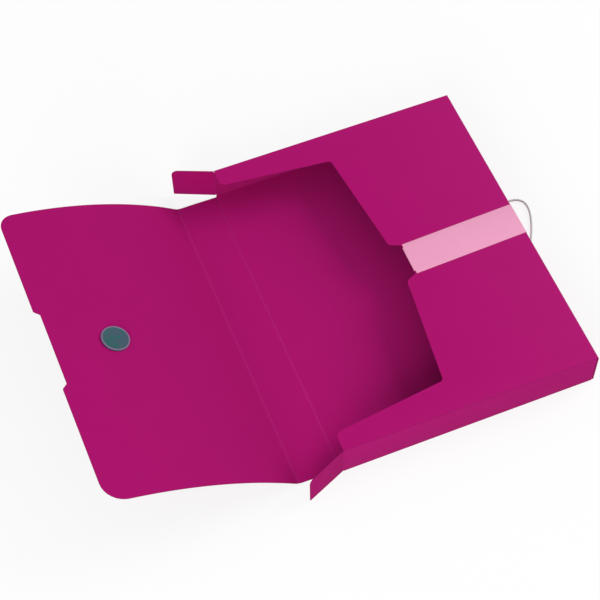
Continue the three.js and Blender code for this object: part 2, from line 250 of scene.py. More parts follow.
def addNode(material, kind, inputs, **settings):
    made = material.node_tree.nodes.new(kind)
    for name, value in settings.items():
        setattr(made, name, value)
    for socket, value in inputs.items():
        if isinstance(value, bpy.types.NodeSocket):
            material.node_tree.links.new(value, made.inputs[socket])
        else:
            made.inputs[socket].default_value = value
    return made


def newMaterial(name):
    made = bpy.data.materials.new(name)
    made.use_nodes = True
    made.node_tree.nodes.clear()
    return made


# A material with one noise for each of the look's patterns, laid on the piece's own flat pattern.
# Each pattern has its size in millimetres, its detail and its roughness.
def patternedMaterial(name, look):
    material = newMaterial(name)
    add = partial(addNode, material)
    flat = add("ShaderNodeAttribute", {}, attribute_name="flatPattern").outputs["Vector"]
    noise = {}
    for pattern, (size, detail, roughness) in look["patterns"].items():
        made = add("ShaderNodeTexNoise",
                   {"Vector": flat, "Scale": 1 / size, "Detail": detail, "Roughness": roughness})
        noise[pattern] = made.outputs["Fac"]
    return material, add, flat, noise


# Ends a plastic's nodes: other colours laid over its own by their amounts, fine relief, and shine
def finishPlastic(material, look, layers, relief, roughness):
    tint = colour(look["colour"])
    for amount, over in layers:
        laid = addNode(material, "ShaderNodeMix", {0: amount, 6: tint, 7: colour(look[over])},
                       data_type="RGBA")
        tint = laid.outputs[2]
    bump = addNode(material, "ShaderNodeBump",
                   {"Height": relief, "Strength": 1.0, "Distance": look["reliefHeight"] / 1000})
    shader = addNode(material, "ShaderNodeBsdfPrincipled",
                     {"Base Color": tint, "Roughness": roughness, "Normal": bump.outputs["Normal"],
                      "IOR": look["ior"], "Specular IOR Level": look["shine"]})
    addNode(material, "ShaderNodeOutputMaterial", {"Surface": shader.outputs["BSDF"]})
    return material


sheetLook = {
    "colour": "#b1166f",
    "cloudColour": "#ad156d",
    "whitened": "#c03a8c",
    "patterns": {
        "cloud": (38, 3.0, 0.5),
        "grain": (0.8, 2.0, 0.6),  # a real grain is about 0.2 mm, drawn coarser so that it shows
    },
    "cloudFrom": 0.3,
    "cloudTo": 0.7,
    "reliefHeight": 0.014,
    "scuffLength": 45,
    "scuffWidth": 0.5,  # a real scuff is a hairline of about 0.1 mm, drawn wider so that it shows
    "scuffTurn": 0.35,  # radians
    "scuffFrom": 0.66,
    "scuffTo": 0.74,
    "scuffStrength": 0.12,
    "roughness": (0.46, 0.58),
    "shine": 0.008,
    "ior": 1.49,
}


# Extruded polypropylene sheet with a sand-grain face: an even deep colour with a soft satin shine,
# a fine pebble in the highlights, a few hairline scuffs, and pale stressed lines where it is creased.
def extrudedPolypropylene(name, look):
    material, add, flat, noise = patternedMaterial(name, look)
    wearAndPaintedLight = add("ShaderNodeAttribute", {}, attribute_name="creaseWearAndPaintedLight").outputs["Fac"]
    drawn = add("ShaderNodeMapping",
                {"Vector": flat, "Rotation": (0, 0, look["scuffTurn"]),
                 "Scale": (1 / look["scuffLength"], 1 / look["scuffWidth"], 1)})
    scuff = add("ShaderNodeTexNoise",
                {"Vector": drawn.outputs["Vector"], "Scale": 1.0, "Detail": 2.0, "Roughness": 0.5})
    scuffed = add("ShaderNodeMapRange",
                  {"Value": scuff.outputs["Fac"], "From Min": look["scuffFrom"],
                   "From Max": look["scuffTo"], "To Min": 0.0, "To Max": look["scuffStrength"]})
    broken = add("ShaderNodeMath", {0: wearAndPaintedLight, 1: noise["grain"]}, operation="MULTIPLY")
    roughness = add("ShaderNodeMapRange",
                    {"Value": noise["cloud"], "From Min": look["cloudFrom"], "From Max": look["cloudTo"],
                     "To Min": look["roughness"][0], "To Max": look["roughness"][1]})
    layers = ((noise["cloud"], "cloudColour"), (broken.outputs[0], "whitened"),
              (scuffed.outputs["Result"], "whitened"))
    return finishPlastic(material, look, layers, noise["grain"], roughness.outputs["Result"])


cutLook = {
    # painted shade: the cut edge's colour is drawn darker than the face to stand in for the shade along the sheet's
    # edges
    "colour": "#8c0f57",
    "rubbed": "#9a1c64",
    "patterns": {
        "drag": (0.5, 3.0, 0.6),  # real drag marks lie about 0.1 mm apart, drawn coarser so that they show
    },
    "reliefHeight": 0.02,
    "roughness": 0.62,
    "shine": 0.03,
    "ior": 1.49,
}


# The same polypropylene where the die cut it: its edge is painted darker than the face, a painted shade for the dark
# line along the sheet's edges, with fine drag marks
def dieCutPolypropylene(name, look):
    material, _, _, noise = patternedMaterial(name, look)
    return finishPlastic(material, look, [(noise["drag"], "rubbed")], noise["drag"], look["roughness"])


bandLook = {
    "colour": "#f2a3c6",
    "cloudColour": "#eea0c3",
    # painted shade: the greyer colour laid along the band's fold over the end wall's edge
    "edge": "#cfa4bb",
    "patterns": {
        "cloud": (22, 2.0, 0.5),
        "grain": (0.6, 2.0, 0.6),  # a calendered face's grain is under 0.1 mm, drawn coarser to show
    },
    "reliefHeight": 0.008,
    "roughness": 0.5,
    "shine": 0.25,
    "ior": 1.49,
}


# Thin polypropylene film, calendered matt: a pale even pink, with a painted shade that makes it a little greyer where
# it is bent
def calenderedFilm(name, look):
    material, add, _, noise = patternedMaterial(name, look)
    wearAndPaintedLight = add("ShaderNodeAttribute", {}, attribute_name="creaseWearAndPaintedLight").outputs["Fac"]
    # the crease mask lays the band's painted fold shade
    layers = ((noise["cloud"], "cloudColour"), (wearAndPaintedLight, "edge"))
    return finishPlastic(material, look, layers, noise["grain"], look["roughness"])


discLook = {
    "colour": "#1b5e5b",
    "cloudColour": "#3f5367",
    # painted reflection and highlight: the rim's pale violet stands in for the magenta sheet mirrored in it
    "rimReflectionColour": "#93759c",
    "patterns": {
        "cloud": (6.5, 2.0, 0.5),
        "grain": (0.5, 2.0, 0.6),  # spark erosion leaves pits of about 0.05 mm, drawn coarser to show
    },
    "cloudFrom": 0.32,
    "cloudTo": 0.66,
    "reliefHeight": 0.01,
    "roughness": 0.34,
    "shine": 0.2,
    "ior": 1.53,
}


# Injection-moulded ABS, spark-eroded finish: dark slate green; its raised rim is painted paler and violet, a painted
# reflection of the magenta sheet and a painted highlight
def mouldedAbs(name, look):
    material, add, _, noise = patternedMaterial(name, look)
    wearAndPaintedLight = add("ShaderNodeAttribute", {}, attribute_name="creaseWearAndPaintedLight").outputs["Fac"]
    patch = add("ShaderNodeMapRange",
                {"Value": noise["cloud"], "From Min": look["cloudFrom"], "From Max": look["cloudTo"]})
    # the rim mask lays the painted reflection and highlight
    layers = ((patch.outputs["Result"], "cloudColour"), (wearAndPaintedLight, "rimReflectionColour"))
    return finishPlastic(material, look, layers, noise["grain"], look["roughness"])


cordLook = {
    "colour": "#dde2de",
    # painted shade: the darker colour laid in the braid's gaps
    "valley": "#c8cdca",
    "fleck": "#e6eae8",
    "patterns": {
        "yarn": (0.35, 3.0, 0.7),  # a filament is about 0.02 mm thick, drawn coarser so that it shows
    },
    "roughness": 0.8,
    "shine": 0.25,
    "sheen": 0.15,
    "sheenRoughness": 0.5,
    "ior": 1.5,
}


# Braided polyester over a rubber core: soft grey yarn, with painted shade that darkens it in the gaps of the braid
def braidedPolyester(name, look):
    material, add, _, noise = patternedMaterial(name, look)
    relief = add("ShaderNodeAttribute", {}, attribute_name="creaseWearAndPaintedLight").outputs["Fac"]
    fleck = add("ShaderNodeMix",
                {0: noise["yarn"], 6: colour(look["colour"]), 7: colour(look["fleck"])}, data_type="RGBA")
    shade = add("ShaderNodeMix",
                {0: relief, 6: colour(look["valley"]), 7: fleck.outputs[2]}, data_type="RGBA")
    shader = add("ShaderNodeBsdfPrincipled",
                 {"Base Color": shade.outputs[2], "Roughness": look["roughness"], "IOR": look["ior"],
                  "Specular IOR Level": look["shine"], "Sheen Weight": look["sheen"],
                  "Sheen Roughness": look["sheenRoughness"]})
    add("ShaderNodeOutputMaterial", {"Surface": shader.outputs["BSDF"]})
    return material


sheetFace = extrudedPolypropylene("polypropylene_extruded_sand_grain", sheetLook)
sheetCut = dieCutPolypropylene("polypropylene_die_cut_edge_painted_shade", cutLook)
bandFilm = calenderedFilm("polypropylene_film_calendered", bandLook)
discPlastic = mouldedAbs("abs_moulded_slate", discLook)
cordYarn = braidedPolyester("polyester_braided_over_rubber", cordLook)
print("materials made")


# Meshes

tiny = 1e-6


# A new shape, and what each of its points carries: its place in the flat pattern, and its wear and painted light (the
# sheet's stress whitening, the band's painted fold shade, the disc rim's painted reflection, and the braid's height
# for its painted shade)
def newShape():
    shape = bmesh.new()
    pattern = shape.verts.layers.float_vector.new("flatPattern")
    return shape, pattern, shape.verts.layers.float.new("creaseWearAndPaintedLight")


# Makes the shape an object, smooth but for the edges that turn by more than the given angle
def shapeObject(name, shape, materials, sharpAngle):
    bmesh.ops.recalc_face_normals(shape, faces=shape.faces)
    mesh = bpy.data.meshes.new(name)
    shape.to_mesh(mesh)
    shape.free()
    mesh.polygons.foreach_set("use_smooth", [True] * len(mesh.polygons))
    mesh.set_sharp_from_angle(angle=math.radians(sharpAngle))
    for material in materials:
        mesh.materials.append(material)
    return addObject(name, mesh)


# Joins two rings of points by faces. A ring may be a single point.
def joinRings(shape, lower, upper):
    count = max(len(lower), len(upper))
    for i in range(count):
        j = (i + 1) % count
        loop = [lower[i % len(lower)], lower[j % len(lower)], upper[j % len(upper)], upper[i % len(upper)]]
        shape.faces.new(list(dict.fromkeys(loop)))


def circle(centre, radius, count=32):
    turns = [2 * math.pi * i / count for i in range(count)]
    return [(centre[0] + radius * math.cos(t), centre[1] + radius * math.sin(t)) for t in turns]


# An outline through corners (a, b, radius), each rounded by an arc with a point every step radians
def roundedOutline(corners, step=0.2):
    points = []
    for index, (a, b, radius) in enumerate(corners):
        corner = Vector((a, b))
        if not radius:
            points.append(tuple(corner))
            continue
        back = (Vector(corners[index - 1][:2]) - corner).normalized()
        ahead = (Vector(corners[(index + 1) % len(corners)][:2]) - corner).normalized()
        half = back.angle(ahead) / 2
        centre = corner + (back + ahead).normalized() * radius / math.sin(half)
        start = corner + back * radius / math.tan(half) - centre
        sweep = math.pi - 2 * half
        turn = math.copysign(sweep, start.x * (corner - centre).y - start.y * (corner - centre).x)
        count = max(3, math.ceil(sweep / step))
        for i in range(count + 1):
            along = math.atan2(start.y, start.x) + turn * i / count
            points.append((centre.x + radius * math.cos(along), centre.y + radius * math.sin(along)))
    return points


# A line in a plane that runs straight or turns evenly, from stretches of (length, turn)
def foldedPath(start, heading, stretches):
    legs = []
    a, b = start
    gone = 0.0
    for length, turn in stretches:
        legs.append((gone, a, b, heading, turn / length))
        a, b = advance(a, b, heading, length, turn / length)
        heading += turn
        gone += length

    def at(s):
        begin, a, b, heading, bend = next((leg for leg in reversed(legs) if s >= leg[0] - tiny), legs[0])
        a, b = advance(a, b, heading, s - begin, bend)
        return a, b, heading + bend * (s - begin)

    return at


# Places a flat pattern's points: s goes along the line, w across it, and put says where that lies
def placeAlong(line, put):
    def place(s, t, w):
        a, b, heading = line(s)
        return put(a - w * math.sin(heading), b + w * math.cos(heading), t)

    return place


def advance(a, b, heading, length, bend):
    if abs(bend) < tiny:
        return a + length * math.cos(heading), b + length * math.sin(heading)
    end = heading + bend * length
    return (a + (math.sin(end) - math.sin(heading)) / bend,
            b - (math.cos(end) - math.cos(heading)) / bend)


# How far each side of a fold's corner the arc of this length begins
def foldReach(length, turn):
    return length * math.tan(turn / 2) / turn


def spread(low, high, count):
    return [low + (high - low) * i / count for i in range(count + 1)]


# How deep a point lies in a pressed crease line: 1 on the line, 0 past its edges
def creaseDepth(s, creases):
    depth = 0.0
    for centre, half in creases:
        share = min(1.0, abs(s - centre) / half)
        depth = max(depth, math.cos(share * math.pi / 2) ** 2)
    return depth


sheetShape = {
    "foldRadius": 0.65,
    "edgeBreak": 0.12,
    "mitreLimit": 0.5,
    "foldThinning": 0.25,
    "hingeThinning": 0.45,
    "glueLine": 0.05,
    # how strongly creases are marked: stress whitening on the sheet, painted fold shade on the band
    "wearAndPaintedLight": 0.42,
    "sharpAngle": 32,
    "seamReach": 0.001,
    "cutMargin": 1,
    "cutGrain": 1e-5,
    "leastArea": 1e-7,
    "weldReach": 1e-4,
}


# Cuts a flat pattern to its outline and holes and folds it up. The pattern lies in (s, t), and
# place(s, t, w) says where a point w above its middle goes. Edges on a seam meet the next piece
# square; every other edge is broken by a small chamfer.
def sheetPiece(name, outline, place, across=(), along=(), holes=(), seamS=(), seamT=(),
               creases=(), thinning=sheetShape["foldThinning"], thickness=sheet,
               materials=(sheetFace, sheetCut)):
    points, triangles = cutPattern(outline, holes, across, along)
    offsets, borders = edgeOffsets(points, triangles, seamS, seamT)
    shape, pattern, wearAndPaintedLight = newShape()

    def vertex(index, level, inset):
        s, t = points[index]
        if inset:
            s, t = s + offsets[index][0], t + offsets[index][1]
        depth = creaseDepth(s, creases)
        w = level * (1 - thinning * depth)
        made = shape.verts.new(place(s, t, w))
        made[pattern] = (s, t, w)
        made[wearAndPaintedLight] = depth * sheetShape["wearAndPaintedLight"]
        return made

    half = thickness / 2
    used = sorted({i for triangle in triangles for i in triangle})
    top = {i: vertex(i, half, True) for i in used}
    bottom = {i: vertex(i, -half, True) for i in used}
    rim = {}
    for i in {i for border in borders for i in border}:
        fall = min(sheetShape["edgeBreak"] * thickness / sheet, offsets[i].length)
        rim[i] = [top[i], vertex(i, half - fall, False), vertex(i, fall - half, False), bottom[i]]
    for a, b, c in triangles:
        shape.faces.new((top[a], top[b], top[c]))
        shape.faces.new((bottom[c], bottom[b], bottom[a]))
    for a, b in borders:
        for level in range(len(rim[a]) - 1):
            face = shape.faces.new((rim[b][level], rim[a][level], rim[a][level + 1], rim[b][level + 1]))
            face.material_index = 1
    bmesh.ops.remove_doubles(shape, verts=shape.verts, dist=sheetShape["weldReach"] / 1000)
    return shapeObject(name, shape, materials, sheetShape["sharpAngle"])


# Triangles of the flat pattern, split along the given lines of s and of t
def cutPattern(outline, holes, across, along):
    loops = [outline, *holes]
    points, edges = [], []
    for loop in loops:
        first = len(points)
        points += loop
        edges += [(first + i, first + (i + 1) % len(loop)) for i in range(len(loop))]
    low, high = np.min(outline, 0) - sheetShape["cutMargin"], np.max(outline, 0) + sheetShape["cutMargin"]
    cuts = [((s, low[1]), (s, high[1])) for s in across] + [((low[0], t), (high[0], t)) for t in along]
    for start, end in cuts:
        edges.append((len(points), len(points) + 1))
        points += [start, end]
    made, _, faces, *_ = delaunay_2d_cdt([Vector(p) for p in points], edges, [], 0, sheetShape["cutGrain"])
    placed = np.array([tuple(p) for p in made])
    faces = np.array(faces)
    corners = placed[faces]
    sides = corners[:, 1:] - corners[:, :1]
    areas = sides[:, 0, 0] * sides[:, 1, 1] - sides[:, 0, 1] * sides[:, 1, 0]
    faces[areas < 0] = faces[areas < 0][:, ::-1]
    kept = faces[inLoops(corners.mean(1), loops) & (abs(areas) > sheetShape["leastArea"])]
    return placed, kept.tolist()


# True for each point that lies inside an odd number of the loops
def inLoops(centres, loops):
    inside = np.zeros(len(centres), bool)
    for loop in loops:
        ends = np.array(loop)
        starts = np.roll(ends, 1, 0)
        for (a, b), (c, d) in zip(starts, ends):
            spans = (b > centres[:, 1]) != (d > centres[:, 1])
            if b != d:
                crossing = a + (centres[:, 1] - b) * (c - a) / (d - b)
                inside ^= spans & (centres[:, 0] < crossing)
    return inside


# The pattern's border edges, and how far each border point moves in so that its edge is broken
def edgeOffsets(points, triangles, seamS, seamT):
    near = sheetShape["seamReach"]
    directed = {(t[i], t[(i + 1) % 3]) for t in triangles for i in range(3)}
    borders = [(a, b) for a, b in directed if (b, a) not in directed]
    inward = {}
    for a, b in borders:
        run = Vector(points[b] - points[a])
        onSeam = (any(abs(points[a][0] - s) < near for s in seamS) and abs(run.x) < near
                  or any(abs(points[a][1] - t) < near for t in seamT) and abs(run.y) < near)
        normal = None if onSeam else Vector((-run.y, run.x)).normalized()
        inward.setdefault(a, []).append(normal)
        inward.setdefault(b, []).append(normal)
    offsets = {i: Vector((0, 0)) for t in triangles for i in t}
    for i, normals in inward.items():
        free = [n for n in normals if n]
        if not free:
            continue
        total = sum(free, Vector((0, 0))).normalized()
        offsets[i] = total * (sheetShape["edgeBreak"] / max(sheetShape["mitreLimit"], total.dot(free[0])))
    return offsets, borders


def side(y, far):
    return boxLength - y if far else y


bothSides = (("near", False), ("far", True))
middleLow = sheet / 2
cornerLow = middleLow + sheetShape["foldRadius"]
quarter = math.pi / 2
foldArc = sheetShape["foldRadius"] * quarter


# Back panel, end wall and front panel: one strip that goes along the table, up and back over the top

panels = {
    "mouthSeam": 3.0,
    "foldSteps": 8,
    "cutOutDepth": 110,
    "armRootWidth": 32,
    "armMouthWidth": 19.5,
    "armMouthRadius": 7,
    "cutOutRadius": 4,
    "shallowVDepth": 12,
    "shallowVHalfWidth": 24,
    "notchDepth": 12,
    "notchWidth": 34,
    "notchFlare": 5,
    "notchOffset": -1.5,
    "notchRadius": 3,
    "shoulderRadius": 7,
    "endFootRadius": 0.8,
    "holeRadius": 1.35,
}


def panelPath():
    floorRun = boxWidth - cornerLow - panels["mouthSeam"]
    wallRun = boxDepth - 2 * cornerLow
    topRun = boxWidth - cornerLow
    stretches = [(floorRun, 0), (foldArc, quarter), (wallRun, 0), (foldArc, quarter), (topRun, 0)]
    return foldedPath((panels["mouthSeam"], middleLow), 0, stretches), np.cumsum([s[0] for s in stretches])


panelLine, panelMarks = panelPath()
floorEnd, wallFoot, wallHead, topStart, topEnd = panelMarks
placePanel = placeAlong(panelLine, lambda x, z, y: inBox(x, y, z))


def makeBackPanel():
    fold = spread(floorEnd, wallFoot, panels["foldSteps"])
    outline = [(0, cornerLow), (wallFoot, cornerLow),
               (wallFoot, boxLength - cornerLow), (0, boxLength - cornerLow)]
    piece = sheetPiece("back_panel_sheet", outline, placePanel, across=fold[:-1],
                       seamS=(0, wallFoot), seamT=(cornerLow, boxLength - cornerLow),
                       creases=[((floorEnd + wallFoot) / 2, foldArc)])
    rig.replaces(piece, "back_panel")
    return piece


def makeEndWall():
    holes = []
    for knot in ("near_cord_knot", "far_cord_knot"):
        low, high = (boxPlace(corner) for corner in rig.box(knot))
        place = (wallFoot + (low[2] + high[2]) / 2 - cornerLow, (low[1] + high[1]) / 2)
        holes.append(circle(place, panels["holeRadius"]))
    radius = panels["endFootRadius"]
    outline = roundedOutline([(wallFoot, 0, radius), (wallFoot, boxLength, radius),
                              (wallHead, boxLength, 0), (wallHead, 0, 0)])
    piece = sheetPiece("end_wall_sheet", outline, placePanel, holes=holes, seamS=(wallFoot, wallHead))
    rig.replaces(piece, "end_wall")
    return piece


# The front panel's mouth edge. The notch and its V mirror about the notch's middle, and the arms about
# the box's.
def frontCorners():
    notchMiddle = boxLength / 2 + panels["notchOffset"]
    notchEdge = notchMiddle - panels["notchWidth"] / 2
    vBottom = panels["cutOutDepth"] + panels["shallowVDepth"]
    near = [
        (vBottom + panels["notchDepth"], notchEdge, panels["notchRadius"]),
        (vBottom, notchEdge - panels["notchFlare"], panels["shoulderRadius"]),
        (vBottom, notchMiddle - panels["shallowVHalfWidth"] - panels["notchFlare"], 0),
        (panels["cutOutDepth"], panels["armRootWidth"], panels["cutOutRadius"]),
        (0, panels["armMouthWidth"], panels["armMouthRadius"]),
        (0, 0, 0),
    ]
    far = [(x, 2 * notchMiddle - y if i < 3 else boxLength - y, r) for i, (x, y, r) in enumerate(near)]
    return near, far[::-1]


def makeFrontPanel():
    near, far = frontCorners()
    fold = spread(wallHead, topStart, panels["foldSteps"])
    corners = [(topEnd - x, y, r) for x, y, r in near]
    corners += [(wallHead, 0, 0), (wallHead, boxLength, 0)]
    corners += [(topEnd - x, y, r) for x, y, r in far]
    piece = sheetPiece("front_panel_sheet", roundedOutline(corners), placePanel, across=fold[1:],
                       seamS=(wallHead,), creases=[((wallHead + topStart) / 2, foldArc)])
    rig.replaces(piece, "front_panel")
    return piece


# Side walls: each folds up from the back panel, then in under the front panel as the glue flange

walls = {
    "dustSeam": 0.4,
    "flangeFold": 0.8,
    "flangeWidth": 15,
    "flangeMouthSetback": 3,
    "flangeEndGap": 1,
    "flangeBevel": 8,
    "flangeRadius": 2,
    "tabFold": 0.8,
    "tabLength": 30,
    "tabFootGap": 0.2,
    "tabClearance": 0.4,
    "tabRadius": 6,
}
flangeMiddle = boxDepth - sheet - sheetShape["glueLine"] - sheet / 2
flangeArc = walls["flangeFold"] * quarter
tabMiddle = boxWidth - sheet - sheetShape["glueLine"] - sheet / 2
tabSeam = tabMiddle - walls["tabFold"]
wallRise = flangeMiddle - walls["flangeFold"] - cornerLow
wallMarks = np.cumsum([foldArc, wallRise, flangeArc])


def sideWallPlace(far):
    line = foldedPath((-cornerLow, middleLow), 0, [
        (foldArc, quarter), (wallRise, 0), (flangeArc, quarter), (walls["flangeWidth"], 0)])
    return placeAlong(line, lambda out, z, x: inBox(x, side(-out, far), z))


def makeSideWall(name, far):
    foot, head, turned = wallMarks
    outline = [(0, walls["dustSeam"]), (turned, walls["dustSeam"]), (turned, tabSeam), (0, tabSeam)]
    lines = spread(0, foot, panels["foldSteps"])[1:] + spread(head, turned, panels["foldSteps"])[:-1]
    piece = sheetPiece(name + "_side_wall_sheet", outline, sideWallPlace(far), across=lines,
                       seamS=(0, turned), seamT=(walls["dustSeam"], tabSeam),
                       creases=[(foot / 2, foldArc), ((head + turned) / 2, flangeArc)])
    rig.replaces(piece, name + "_side_wall")
    return piece


def makeGlueFlange(name, far):
    root = wallMarks[2]
    edge = root + walls["flangeWidth"] - walls["flangeFold"] - middleLow
    mouthEnd, farEnd = walls["flangeMouthSetback"], tabSeam - walls["flangeEndGap"]
    bevel, radius = walls["flangeBevel"], walls["flangeRadius"]
    outline = roundedOutline([(root, mouthEnd, 0), (root, farEnd, 0),
                              (edge, farEnd - bevel, radius), (edge, mouthEnd + bevel, radius)])
    piece = sheetPiece(name + "_glue_flange_sheet", outline, sideWallPlace(far), seamS=(root,))
    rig.replaces(piece, name + "_glue_flange")
    return piece


def makeCornerTab(name, far):
    arc = walls["tabFold"] * quarter
    line = foldedPath((tabSeam, middleLow), 0, [(arc, quarter), (walls["tabLength"], 0)])
    place = placeAlong(line, lambda x, y, z: inBox(x, side(y, far), z))
    foot = cornerLow + walls["tabFootGap"]
    head = flangeMiddle - sheet / 2 - walls["tabClearance"]
    free = arc + walls["tabLength"] - walls["tabFold"]
    outline = roundedOutline([(0, foot, 0), (free, foot, walls["tabRadius"]),
                              (free, head, walls["tabRadius"]), (0, head, 0)])
    piece = sheetPiece(name + "_corner_tab_sheet", outline, place,
                       across=spread(0, arc, panels["foldSteps"])[1:], seamS=(0,),
                       creases=[(arc / 2, arc)])
    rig.replaces(piece, name + "_corner_tab")
    return piece


for piece in (makeBackPanel(), makeEndWall(), makeFrontPanel()):
    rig.slot(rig.ride(piece, "box_body"), "sheet")
for name, far in bothSides:
    for make in (makeSideWall, makeGlueFlange, makeCornerTab):
        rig.slot(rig.ride(make(name, far), "box_body"), "sheet")
print("box body folded")


# Dust flaps: each is creased on its side wall's mouth edge and swings out of the mouth

dustFlap = {
    "length": 41.5,
    "splay": 23.5,
    "creaseLength": 1.6,
    "creaseSteps": 10,
    "creaseMargin": 0.05,
    "rootFoot": 1.5,
    "rootHead": 37.6,
    "rootLength": 0.25,
    "rootRadius": 0.3,
    "foot": 1.2,
    "head": 39.8,
    "taper": 0.9,
    "topRadius": 7,
    "footRadius": 0.6,
}


def makeDustFlap(name, far):
    hinge = jointPlace(name + "_dust_fold")[0]
    turn = -math.radians(dustFlap["splay"])
    arc = dustFlap["creaseLength"]
    reach = foldReach(arc, abs(turn))
    root = walls["dustSeam"] - hinge - reach
    line = foldedPath((-walls["dustSeam"], middleLow), 0,
                      [(root, 0), (arc, turn), (dustFlap["length"] - reach, 0)])
    place = placeAlong(line, lambda out, y, z: inBox(-out, side(y, far), z))
    tip = root + arc + dustFlap["length"] - reach
    clear = walls["dustSeam"] + dustFlap["rootLength"]
    rootFoot, rootHead, foot, head = (dustFlap[key] for key in ("rootFoot", "rootHead", "foot", "head"))
    outline = roundedOutline([(0, rootFoot, 0), (0, rootHead, 0), (clear, rootHead, 0),
                              (clear, head, dustFlap["rootRadius"]), (tip, head, dustFlap["topRadius"]),
                              (tip, foot + dustFlap["taper"], dustFlap["footRadius"]), (clear, foot, 0)])
    middle = root + arc / 2
    begin = dustFlap["creaseMargin"]
    end = 2 * root + arc - begin
    piece = sheetPiece(name + "_dust_flap_sheet", outline, place,
                       across=spread(begin, end, dustFlap["creaseSteps"]), seamS=(0,),
                       creases=[(middle, middle)], thinning=sheetShape["hingeThinning"])
    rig.replaces(piece, name + "_dust_flap")
    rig.blend(piece, "box_body", name + "_dust_flap",
             start=place(begin, boxDepth / 2, 0), end=place(end, boxDepth / 2, 0))
    return piece


for name, far in bothSides:
    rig.slot(makeDustFlap(name, far), "sheet")
print("dust flaps folded")


# Spine strip and closure flap: one sheet from the back panel's mouth edge to the flap's free edge,
# cut into pieces between its creases and bending lines so that each bends across one of them

flap = {
    "creaseLength": 2.4,
    "creaseSteps": 12,
    "creaseZone": 1.5,
    "foldLength": 8,
    "foldMargin": 0.5,
    "foldSteps": 20,
    "shoulder": (0.2, 0.9),  # where the strip narrows, past the mouth seam
    "shoulderRadius": 0.6,
    "rootHeading": 42,
    "radius": 354,
    "width": 192.4,
    "sideInset": 3,
    "sideTaper": 5,
    "edgeSkew": 0.011,
    "nearCornerRadius": 21,
    "farCornerRadius": 14,
    "notchOffset": 3.5,
    "notchDepth": 5,
    "notchWidth": 76.5,
    "notchFlare": 4.2,
    "notchRadius": 2.5,
    "seams": (23, 69, 112),  # from the crease, where two pieces meet
    "bends": ((25, 67), (73, 111), (134, 158)),  # from the crease, where each piece bends
    "archStep": 2,
    "archMargin": 1,
    "alongMargin": 12,
    "alongSteps": 8,
    "button": 130,
    "buttonOffset": 2,
    "buttonHole": 4.25,
}


def flapPath():
    spine, crease = jointPlace("spine_fold"), jointPlace("flap_fold")
    lift = math.atan2(crease[2] - spine[2], spine[0] - crease[0])
    width = math.hypot(crease[2] - spine[2], spine[0] - crease[0])
    arc, foldArcLength = flap["creaseLength"], flap["foldLength"]
    spineReach = foldReach(arc, lift)
    creaseReach = foldReach(foldArcLength, math.radians(flap["rootHeading"]) - lift)
    creaseTurn = math.radians(flap["rootHeading"]) - lift - creaseReach / flap["radius"]
    inner = panels["mouthSeam"] - spine[0] - spineReach
    strip = width - spineReach - creaseReach
    arched = flap["width"] - creaseReach
    line = foldedPath((-panels["mouthSeam"], spine[2]), 0, [
        (inner, 0), (arc, lift), (strip, 0), (foldArcLength, creaseTurn),
        (arched, -arched / flap["radius"])])
    spineAt = inner + arc / 2
    creaseAt = inner + arc + strip + foldArcLength / 2
    return line, spineAt, creaseAt, creaseAt + foldArcLength / 2 - creaseReach


flapLine, spineAt, creaseAt, flapZero = flapPath()
foldHalf = flap["foldLength"] / 2 + flap["foldMargin"]
stripSeam = (spineAt + creaseAt) / 2
placeFlap = placeAlong(flapLine, lambda out, z, y: inBox(-out, y, z))


# How far the flap's side edge lies in from the box's side, that far from the crease
def flapInset(distance):
    return flap["sideInset"] + flap["sideTaper"] * max(0, distance) / flap["width"]


# The outline of a stretch with these corners along its near side, and the same ones along its far side
def mirrored(near):
    return roundedOutline(near + [(s, boxLength - t, r) for s, t, r in near[::-1]])


def makeMouthHalf():
    inset = flap["sideInset"]
    foot, head = (panels["mouthSeam"] + step for step in flap["shoulder"])
    outline = mirrored([(0, cornerLow, 0), (foot, cornerLow, 0), (head, inset, flap["shoulderRadius"]),
                        (stripSeam, inset, 0)])
    zone = flap["creaseZone"]
    lines = spread(spineAt - zone, spineAt + zone, flap["creaseSteps"])
    piece = sheetPiece("spine_strip_mouth_half", outline, placeFlap, across=lines,
                       seamS=(0, stripSeam), creases=[(spineAt, zone)],
                       thinning=sheetShape["hingeThinning"])
    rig.replaces(piece, "spine_strip")
    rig.blend(piece, "box_body", "spine_strip",
             start=placeFlap(lines[0], boxLength / 2, 0), end=placeFlap(lines[-1], boxLength / 2, 0))
    return piece


# A stretch of the strip and flap between two seams. It bends from one body to the next in its zone.
def makeFlapSheet(name, begin, end, zone, bodies, nodes, creases=(), holes=(), outline=None):
    step, margin = flap["archStep"], flap["archMargin"]
    arch = [flapZero + d for d in np.arange(step, flap["width"] - margin, step)]
    lines = [s for s in arch if begin + margin < s < end - margin and s > creaseAt + foldHalf + margin]
    if creases:
        lines += spread(creaseAt - foldHalf, creaseAt + foldHalf, flap["foldSteps"])
    along = spread(flap["alongMargin"], boxLength - flap["alongMargin"], flap["alongSteps"])
    outline = outline or mirrored([(s, flapInset(s - flapZero), 0) for s in (begin, end)])
    piece = sheetPiece(name, outline, placeFlap, across=lines, along=along, holes=holes,
                       seamS=(begin, end), creases=creases, thinning=sheetShape["hingeThinning"])
    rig.replaces(piece, *nodes)
    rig.blend(piece, *bodies, start=placeFlap(zone[0], boxLength / 2, 0),
             end=placeFlap(zone[1], boxLength / 2, 0))
    return piece


